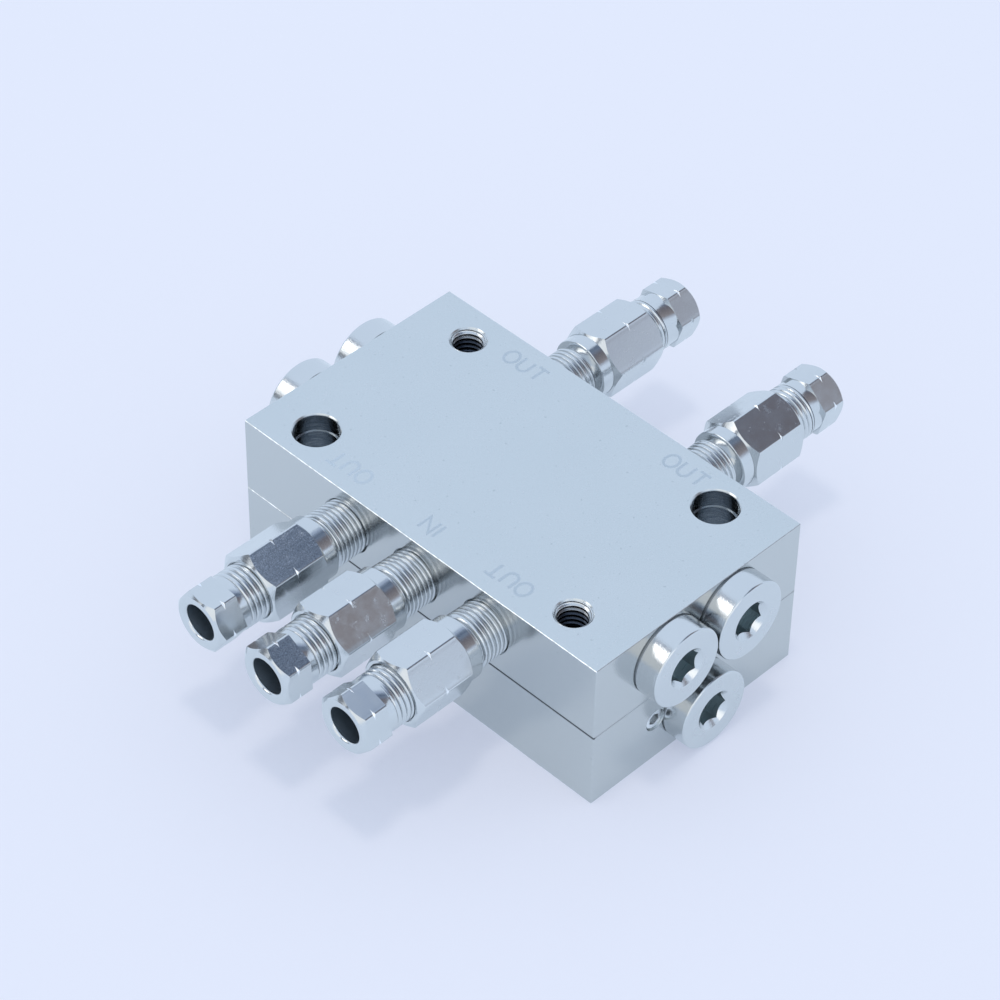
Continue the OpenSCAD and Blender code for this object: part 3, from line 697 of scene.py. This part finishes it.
def body_rows(turn, seam, flat):
    """Fitting body: taper thread, neck, collar and hexagon, then back through its inside.

    The inside has a plain gland bore, a ferrule seat, a tube socket and a passage.
    """
    neck = BODY_THREAD_L + NECK_L
    hex_start = neck + COLLAR_L
    face = hex_start + BODY_HEX_L
    gland_floor = face - GLAND_DEPTH
    socket = gland_floor - SEAT_L

    def root(station):
        return PIPE_TIP_R + station * PIPE_TAPER - PIPE_RIDGE

    before = [ring(PASSAGE_R, 0), ring(root(0), 0)]
    thread = thread_rows(0, BODY_THREAD_L, PIPE_PITCH, root, PIPE_RIDGE, seam, first_turn=-1)
    after = [
        ring(NECK_R, BODY_THREAD_L),
        ring(NECK_R, neck),
        *rounded_step(COLLAR_R, neck, -1),
        ring(COLLAR_R, hex_start),
        ring(BODY_FACE_R, hex_start),
        *hexagon_rows(hex_start, face, turn, BODY_AF, BODY_NICK, BODY_FACE_R, BODY_FACE_R, flat),
        ring(BODY_FACE_R, face),
        ring(GLAND_R + EDGE, face),
        # The gland bore and all inside it get painted shade
        ring(GLAND_R, face - EDGE, "deep"),
        ring(GLAND_R, gland_floor, "deep"),
        ring(SEAT_R, gland_floor, "deep"),
        ring(TUBE_BORE_R, socket, "deep"),
        ring(TUBE_BORE_R, socket - SOCKET_L, "deep"),
        ring(PASSAGE_R, socket - SOCKET_L, "deep")]
    return before, thread, after


def nut_rows(turn, seam, flat, thread_l):
    """Gland nut: fine thread, shank and hexagon, then back through rounded mouth and tube bore."""
    face = NUT_SHANK_L + NUT_HEX_L

    def root(station):
        return NUT_THREAD_R - NUT_RIDGE

    before = [ring(TUBE_BORE_R, 0), ring(root(0), 0)]
    thread = thread_rows(
        0, thread_l, NUT_PITCH, root, NUT_RIDGE, seam, first_turn=-1, runs_out=True)
    # A face that is wider than the corners leaves them without a chamfer
    no_chamfer_r = NUT_AF
    mouth = []
    for k in range(MOUTH_STEPS + 1):
        a = math.radians(90.0 * k / MOUTH_STEPS)
        mouth_r = TUBE_BORE_R + NUT_MOUTH * (1 - math.sin(a))
        # Past the mouth the tube bore gets painted shade
        kind = "turned" if k < MOUTH_STEPS else "deep"
        mouth.append(ring(mouth_r, face - NUT_MOUTH * (1 - math.cos(a)), kind))
    after = [
        ring(NUT_SHANK_R, thread_l + EDGE),
        ring(NUT_SHANK_R, NUT_SHANK_L),
        *hexagon_rows(NUT_SHANK_L, face, turn, NUT_AF, NUT_NICK, no_chamfer_r, NUT_FACE_R, flat),
        ring(NUT_FACE_R, face),
        *mouth]
    return before, thread, after


# Each fitting with the finishes of its body's and nut's flats and the length of its nut's thread
FITTINGS = (
    ("inlet", "flat", "grainy", 9.7),
    ("outlet_front_left", "grainy", "nut_flat", 9.6),
    ("outlet_front_right", "flat", "nut_flat", 9.4),
    ("outlet_back_left", "flat", "nut_flat", 7.9),
    ("outlet_back_right", "flat", "nut_flat", 8.8))
for fitting, body_flat, nut_flat, nut_thread in FITTINGS:
    fitting_piece(
        fitting + "_body", BODY_AF, lambda turn, seam: body_rows(turn, seam, body_flat))
    fitting_piece(
        fitting + "_nut", NUT_AF, lambda turn, seam: nut_rows(turn, seam, nut_flat, nut_thread))


# End plugs with rounded rims
def socket_angle(name, place):
    """Angle of a socket corner, from the solid's points on the floor of the socket."""
    floor = (PLUG_L - PLUG_KEY_DEPTH) * MM
    corner_r = PLUG_KEY / 2 / FLAT_SHARE * MM
    points = [p for p in solid_points(name, place) if abs(p.z - floor) < SUPPORT * MM]
    corner = min(points, key=lambda p: abs(math.hypot(p.x, p.y) - corner_r))
    return math.degrees(math.atan2(corner.y, corner.x))


def plug_rows(turn):
    """End plug: plain thread, collar with rounded rim, face, countersink and hexagon socket."""
    floor = PLUG_L - PLUG_KEY_DEPTH

    def socket_mouth(angle):
        radius = hexagon_radius(angle, turn, PLUG_KEY, PLUG_KEY_ROUND)
        return radius, PLUG_L - (PLUG_MOUTH_R - radius)

    def socket_floor(angle):
        return hexagon_radius(angle, turn, PLUG_KEY, PLUG_KEY_ROUND), floor

    return [
        ring(0, 0, "plug"),
        ring(PLUG_THREAD_R - PLUG_TIP, 0, "plug"),
        ring(PLUG_THREAD_R, PLUG_TIP, "plug"),
        ring(PLUG_THREAD_R, PLUG_SHOULDER, "plug"),
        *rounded_step(PLUG_COLLAR_R, PLUG_SHOULDER, -1, PLUG_UNDERSIDE, "plug"),
        *rounded_step(PLUG_COLLAR_R, PLUG_L, 1, PLUG_RIM, "plug", PLUG_RIM_STEPS),
        ring(PLUG_COLLAR_R - PLUG_RIM - SUPPORT, PLUG_L, "plug_face"),
        ring(PLUG_MOUTH_R, PLUG_L, "plug"),
        # The socket's walls and floor get painted shade
        (socket_mouth, "socket"),
        (socket_floor, "socket"),
        ring(0, floor, "socket")]


def plug_piece(name):
    """Replaces a plug's solid by a grid with rounded edges."""
    place = outward_frame(name, X_AXIS)
    turn = socket_angle(name, place)
    columns = hexagon_columns(turn, PLUG_KEY, PLUG_KEY_ROUND)
    piece = closed_grid(name + "_rounded", columns, plug_rows(turn), place, loop=False)
    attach(piece, BODY)
    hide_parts(name)


for name in nodes:
    if name.startswith("plug_"):
        plug_piece(name)


# Threads in the two tapped corner holes, as thin sleeves inside the plain holes of the upper plate
def tapped_thread(name, screw):
    """Thread on the axis of the clamp screw that reaches up into its hole from below."""
    low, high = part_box(screw)
    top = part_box("upper_plate")[1].z
    middle = ((low.x + high.x) / 2, (low.y + high.y) / 2, top - TAP_DEPTH * MM)
    columns = [-360.0 / TAP_COLUMNS * k for k in range(TAP_COLUMNS)]
    end = TAP_DEPTH - EDGE

    def root(station):
        return TAP_ROOT_R

    thread = thread_rows(0, end, TAP_PITCH, root, -TAP_RIDGE, columns[0], first_turn=0)
    rows = [
        *((at, "tapped") for at, _ in thread),
        ring(TAP_OUTER_R, end, "tapped"), ring(TAP_OUTER_R, 0, "tapped")]
    piece = closed_grid(
        name, columns, rows, Matrix.Translation(middle), range(len(thread)), -len(THREAD_PROFILE))
    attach(piece, BODY)


tapped_thread("tapped_thread_front", "clamp_screw_front")
tapped_thread("tapped_thread_back", "clamp_screw_back")


# Port marks, as thin strokes let into the top face
def arc(cx, cy, rx, ry, start, end, steps):
    """Points of an elliptic arc, by angles in degrees."""
    angles = [math.radians(start + (end - start) * i / steps) for i in range(steps + 1)]
    return [(cx + rx * math.cos(a), cy + ry * math.sin(a)) for a in angles]


# Letters as strokes in a box that is 1 high, with its middle at 0, and half the width of letters
N_HALF = 0.37
O_HALF = 0.4
O_STEPS = 28
T_HALF = 0.36
T_STEM_TOP = 0.5 - MARK_STROKE / MARK_H / 2
U_HALF = 0.34
U_BOWL_Y = -0.16
U_STEPS = 12
LETTERS = {
    "I": [[(0, -0.5), (0, 0.5)]],
    "N": [[(-N_HALF, -0.5), (-N_HALF, 0.5), (N_HALF, -0.5), (N_HALF, 0.5)]],
    "O": [arc(0, 0, O_HALF, 0.5, 0, 360, O_STEPS)],
    "U": [[
        (-U_HALF, 0.5), *arc(0, U_BOWL_Y, U_HALF, U_HALF, 180, 360, U_STEPS), (U_HALF, 0.5)]],
    "T": [[(-T_HALF, 0.5), (T_HALF, 0.5)], [(0, T_STEM_TOP), (0, -0.5)]],
}
# Distance under which a path's ends count as one point, and the least share that a mitre divides by
CLOSED_GAP = 1e-6
MITRE_LIMIT = 0.4


def stroke_prism(points, width, low, high):
    """Corners and faces of a closed bar of rectangular section along a path in the plane."""
    closed = (Vector(points[0]) - Vector(points[-1])).length < CLOSED_GAP
    path = [Vector(p) for p in (points[:-1] if closed else points)]
    n = len(path)
    verts, faces = [], []
    for i, p in enumerate(path):
        ahead = path[(i + 1) % n] - p if closed or i < n - 1 else p - path[i - 1]
        behind = p - path[i - 1] if closed or i > 0 else ahead
        ahead, behind = ahead.normalized(), behind.normalized()
        along = (ahead + behind).normalized()
        across = Vector((-along.y, along.x))
        reach = width / 2 / max(MITRE_LIMIT, across.dot(Vector((-ahead.y, ahead.x))))
        for side, z in ((1, low), (1, high), (-1, high), (-1, low)):
            corner = p + across * side * reach
            verts.append((corner.x, corner.y, z))
    for i in range(n if closed else n - 1):
        a, b = 4 * i, 4 * ((i + 1) % n)
        faces += [(a + k, b + k, b + (k + 1) % 4, a + (k + 1) % 4) for k in range(4)]
    if not closed:
        last = 4 * (n - 1)
        faces += [(0, 1, 2, 3), (last + 3, last + 2, last + 1, last)]
    return verts, faces


def port_mark(name, word, x, y, turn, kind):
    """One word on the top face with its middle at x, y, turned about Z."""
    verts, faces = [], []
    for i, letter in enumerate(word):
        shift = (i - (len(word) - 1) / 2) * MARK_PITCH[word]
        for stroke in LETTERS[letter]:
            points = [(shift + px * MARK_H, py * MARK_H) for px, py in stroke]
            more, sides = stroke_prism(points, MARK_STROKE, -MARK_SUNK, MARK_PROUD)
            faces += [tuple(len(verts) + k for k in side) for side in sides]
            verts += more
    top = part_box("upper_plate")[1].z / MM
    place = Matrix.Translation((x, y, top)) @ Matrix.Rotation(math.radians(turn), 4, "Z")
    mesh = bpy.data.meshes.new(name)
    mesh.from_pydata([(place @ Vector(v)) * MM for v in verts], [], faces)
    mesh.materials.append(finish[kind])
    piece = add_object(name, mesh)
    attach(piece, BODY)


# Word, middle, turn and finish of each mark
MARKS = (
    ("mark_out_back_left", "OUT", -17.45, 19.05, 0.0, "mark"),
    ("mark_out_back_right", "OUT", 18.65, 19.5, 0.0, "mark"),
    ("mark_out_front_left", "OUT", -19.6, -18.9, 180.0, "faint_mark"),
    ("mark_in", "IN", -0.05, -19.1, 180.0, "mark"),
    ("mark_out_front_right", "OUT", 16.55, -18.7, 180.0, "mark"))
for mark in MARKS:
    port_mark(*mark)


# Studio, in metres: pale floor and surroundings, a soft light from above, and pale and dark cards
# for the reflections
FLOOR_SIZE = 8.0
FLOOR_COLOUR = (0.51, 0.475, 0.46)
FLOOR_MOTTLE = 0.985
FLOOR_GLOW = (0.30, 0.3375, 0.4415)
FLOOR_MIRRORED = (1.0, 1.07, 1.06)
FLOOR_ROUGH = 0.9
FLOOR_SHINE = 0.1
WORLD_COLOUR = (0.71, 0.83, 1.0)
WORLD_STRENGTH = 1.065
CAM_CLIP = (0.01, 50.0)
# Azimuth, elevation, distance, size and power of the light
LIGHT = (26.0, 87.0, 1.3, 0.16, 2.45)
# Azimuth, elevation, distance, width and height of each card, then its shades from its lower edge
# up, each with its share of the height
CARDS = {
    "dark_card_back": (143.0, 48.0, 1.2, 1.16, 1.22, (
        (0.0, (0.65, 0.74, 0.90)), (0.04, (0.56, 0.62, 0.76)), (0.11, (0.40, 0.44, 0.53)),
        (0.17, (0.30, 0.28, 0.30)), (0.54, (0.17, 0.165, 0.195)), (0.66, (0.21, 0.28, 0.41)),
        (0.75, (0.07, 0.10, 0.155)), (0.84, (0.36, 0.455, 0.635)), (1.0, (0.60, 0.70, 0.87)))),
    "dark_card_light": (-36.0, 35.0, 0.95, 0.70, 0.86, (
        (0.0, (0.25, 0.28, 0.33)), (0.2, (0.12, 0.14, 0.17)), (0.8, (0.30, 0.35, 0.46)),
        (1.0, (0.45, 0.5, 0.6)))),
    "pale_card_front": (18.0, 28.0, 1.3, 1.2, 1.15, (
        (0.0, (1.0, 1.05, 1.1)), (1.0, (1.1, 1.15, 1.2)))),
    "pale_card_right": (73.0, 26.0, 1.35, 0.70, 0.70, (
        (0.0, (1.3, 1.35, 1.4)), (1.0, (1.5, 1.5, 1.5)))),
    "softbox": (-37.0, 35.0, 0.9, 0.46, 0.50, (
        (0.0, (0.7, 0.75, 0.82)), (0.3, (1.3, 1.35, 1.4)), (0.6, (2.4, 2.4, 2.4)),
        (1.0, (3.0, 3.0, 3.0)))),
}


def from_direction(azimuth, elevation):
    """Unit vector towards an azimuth and elevation, with azimuth 0 at -Y and 90 at +X."""
    a, e = math.radians(azimuth), math.radians(elevation)
    return Vector((math.sin(a) * math.cos(e), -math.cos(a) * math.cos(e), math.sin(e)))


def upright_turn(out):
    """Turn that points Z along out and Y up, so that a light or camera there looks back."""
    return out.to_track_quat("Z", "Y").to_matrix().to_4x4()


def facing(azimuth, elevation, distance):
    """Place of a flat thing that hangs in a direction and faces the object."""
    out = from_direction(azimuth, elevation)
    return Matrix.Translation(out * distance) @ upright_turn(out)


def rectangle(name, width, height, material):
    """Flat rectangle with its middle at the origin."""
    mesh = bpy.data.meshes.new(name)
    signs = ((-1, -1), (1, -1), (1, 1), (-1, 1))
    corners = [(x * width / 2, y * height / 2, 0.0) for x, y in signs]
    mesh.from_pydata(corners, [], [(0, 1, 2, 3)])
    mesh.materials.append(material)
    return add_object(name, mesh)


def make_floor():
    material, tree, shader, place = new_material("floor_paper")
    mirrored = node(tree, "ShaderNodeLightPath").outputs["Is Glossy Ray"]
    tint = mix_colour(tree, mirrored, (1.0, 1.0, 1.0), FLOOR_MIRRORED)
    mottled = tuple(FLOOR_MOTTLE * c for c in FLOOR_COLOUR)
    plain = mix_colour(tree, noise(tree, place, scale=0.004), mottled, FLOOR_COLOUR)
    for socket, colour in (("Base Color", plain), ("Emission Color", FLOOR_GLOW)):
        tree.links.new(vector_node(tree, "MULTIPLY", colour, tint), shader.inputs[socket])
    shader.inputs["Roughness"].default_value = FLOOR_ROUGH
    shader.inputs["Specular IOR Level"].default_value = FLOOR_SHINE
    shader.inputs["Emission Strength"].default_value = 1.0
    rectangle("floor", FLOOR_SIZE, FLOOR_SIZE, material)


def make_world():
    world = bpy.data.worlds.new("studio")
    bpy.context.scene.world = world
    world.use_nodes = True
    background = world.node_tree.nodes["Background"]
    background.inputs["Color"].default_value = rgba(WORLD_COLOUR)
    background.inputs["Strength"].default_value = WORLD_STRENGTH


def make_card(name, azimuth, elevation, distance, width, height, stops):
    """Card with its own shades from its lower to its upper edge, out of the camera's sight."""
    material = bpy.data.materials.new(name)
    material.use_nodes = True
    tree = material.node_tree
    tree.nodes.clear()
    up = split(tree, coordinate(tree, "Generated"))["Y"]
    ramp = node(tree, "ShaderNodeValToRGB", {"Fac": up})
    while len(ramp.color_ramp.elements) < len(stops):
        ramp.color_ramp.elements.new(0.5)
    for element, (position, colour) in zip(ramp.color_ramp.elements, stops):
        element.position = position
        element.color = rgba(colour)
    glow = node(tree, "ShaderNodeEmission", {"Color": ramp.outputs["Color"], "Strength": 1.0})
    out = node(tree, "ShaderNodeOutputMaterial", {"Surface": glow.outputs[0]})
    out.is_active_output = True
    card = rectangle(name, width, height, material)
    card.matrix_world = facing(azimuth, elevation, distance)
    card.visible_camera = False
    card.visible_diffuse = False
    card.visible_shadow = False


def make_light(azimuth, elevation, distance, size, power):
    """Soft light that throws the shadows and is not seen in reflections."""
    data = bpy.data.lights.new("overhead", "AREA")
    data.size = size
    data.energy = power
    light = add_object("overhead", data)
    light.matrix_world = facing(azimuth, elevation, distance)
    light.visible_camera = False
    light.visible_glossy = False


def make_camera():
    data = bpy.data.cameras.new("camera")
    data.sensor_width = SENSOR
    data.lens = CAM_FOCAL_PIXELS / IMAGE_PIXELS * SENSOR
    data.clip_start, data.clip_end = CAM_CLIP
    camera = add_object("camera", data)
    out = from_direction(CAM_AZIMUTH, CAM_ELEVATION)
    stand = Matrix.Translation((Vector(CAM_AIM) + out * CAM_DISTANCE) * MM)
    roll = Matrix.Rotation(math.radians(CAM_ROLL), 4, "Z")
    camera.matrix_world = stand @ upright_turn(out) @ roll
    bpy.context.scene.camera = camera


make_floor()
make_world()
for name, card in CARDS.items():
    make_card(name, *card)
make_light(*LIGHT)
make_camera()
bpy.context.scene.view_settings.view_transform = "Standard"
